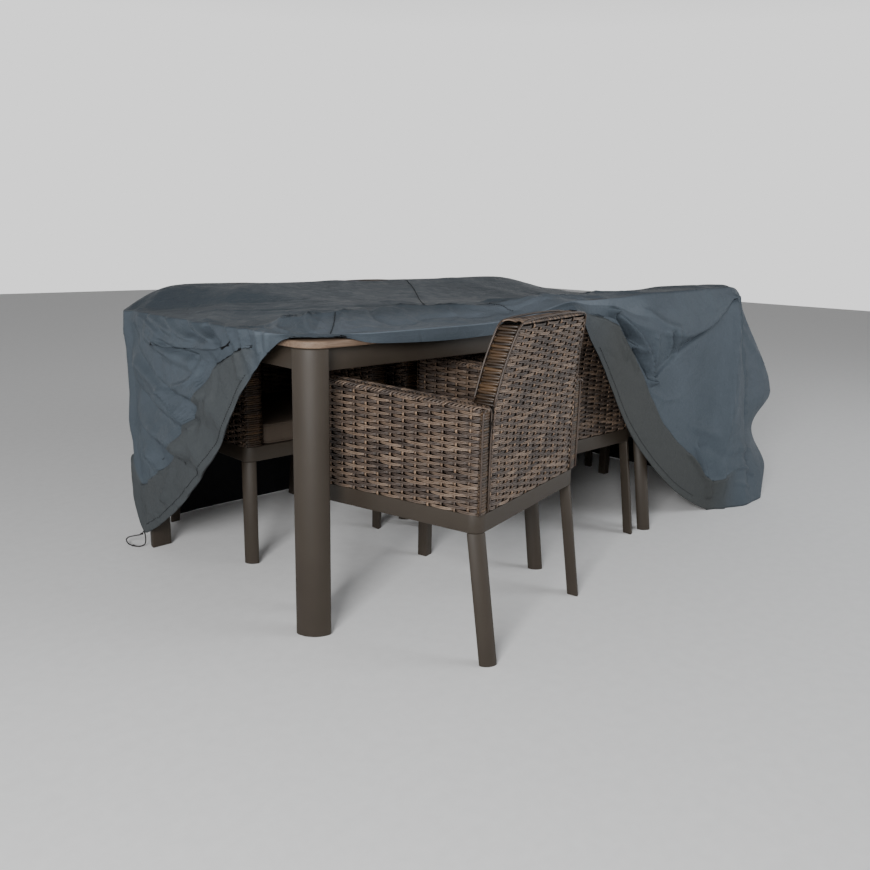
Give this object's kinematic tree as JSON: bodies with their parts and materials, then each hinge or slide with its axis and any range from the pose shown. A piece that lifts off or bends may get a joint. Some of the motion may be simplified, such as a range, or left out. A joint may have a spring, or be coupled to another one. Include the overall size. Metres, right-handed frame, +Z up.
{
  "type": "patio furniture cover over a dining table and armchairs",
  "caption": "Grey weather cover draped over a dining table and woven armchairs, its near skirt gathered up on the table top so that a table corner and a pulled-out chair show.",
  "frame": {"origin": "centre of the footprint's bounding rectangle, on the ground", "axes": "+Z up, X along the table's length, -Y towards the side where the cover is gathered up and a chair is pulled out"},
  "size_m": [2.2844, 1.5116, 0.837],
  "materials": {
    "cloth": "coated polyester with a faint sheen outside",
    "metal": "satin powder coat, brown-grey",
    "wood": "oiled hardwood",
    "wicker": "woven round strands in mixed browns",
    "cushion": "woven beige cloth",
    "cord": "braided black cord"
  },
  "bodies": {
    "root": {"cover": "cloth", "drawcord": "cord", "table_top": "wood", "table_leg_near_left": "metal", "table_leg_near_right": "metal", "table_leg_far_right": "metal", "table_leg_far_left": "metal", "apron_near": "metal", "apron_far": "metal", "apron_left": "metal", "apron_right": "metal", "chair_pulled_out_shell": "wicker", "chair_pulled_out_seat_frame": "metal", "chair_pulled_out_cushion": "cushion", "chair_pulled_out_leg_back_left": "metal", "chair_pulled_out_leg_back_right": "metal", "chair_pulled_out_leg_front_left": "metal", "chair_pulled_out_leg_front_right": "metal", "chair_near_middle_shell": "wicker", "chair_near_middle_seat_frame": "metal", "chair_near_middle_cushion": "cushion", "chair_near_middle_leg_back_left": "metal", "chair_near_middle_leg_back_right": "metal", "chair_near_middle_leg_front_left": "metal", "chair_near_middle_leg_front_right": "metal", "chair_near_right_shell": "wicker", "chair_near_right_seat_frame": "metal", "chair_near_right_cushion": "cushion", "chair_near_right_leg_back_left": "metal", "chair_near_right_leg_back_right": "metal", "chair_near_right_leg_front_left": "metal", "chair_near_right_leg_front_right": "metal", "chair_far_left_shell": "wicker", "chair_far_left_seat_frame": "metal", "chair_far_left_cushion": "cushion", "chair_far_left_leg_back_left": "metal", "chair_far_left_leg_back_right": "metal", "chair_far_left_leg_front_left": "metal", "chair_far_left_leg_front_right": "metal", "chair_far_middle_shell": "wicker", "chair_far_middle_seat_frame": "metal", "chair_far_middle_cushion": "cushion", "chair_far_middle_leg_back_left": "metal", "chair_far_middle_leg_back_right": "metal", "chair_far_middle_leg_front_left": "metal", "chair_far_middle_leg_front_right": "metal", "chair_far_right_shell": "wicker", "chair_far_right_seat_frame": "metal", "chair_far_right_cushion": "cushion", "chair_far_right_leg_back_left": "metal", "chair_far_right_leg_back_right": "metal", "chair_far_right_leg_front_left": "metal", "chair_far_right_leg_front_right": "metal"}
  },
  "joints": []
}
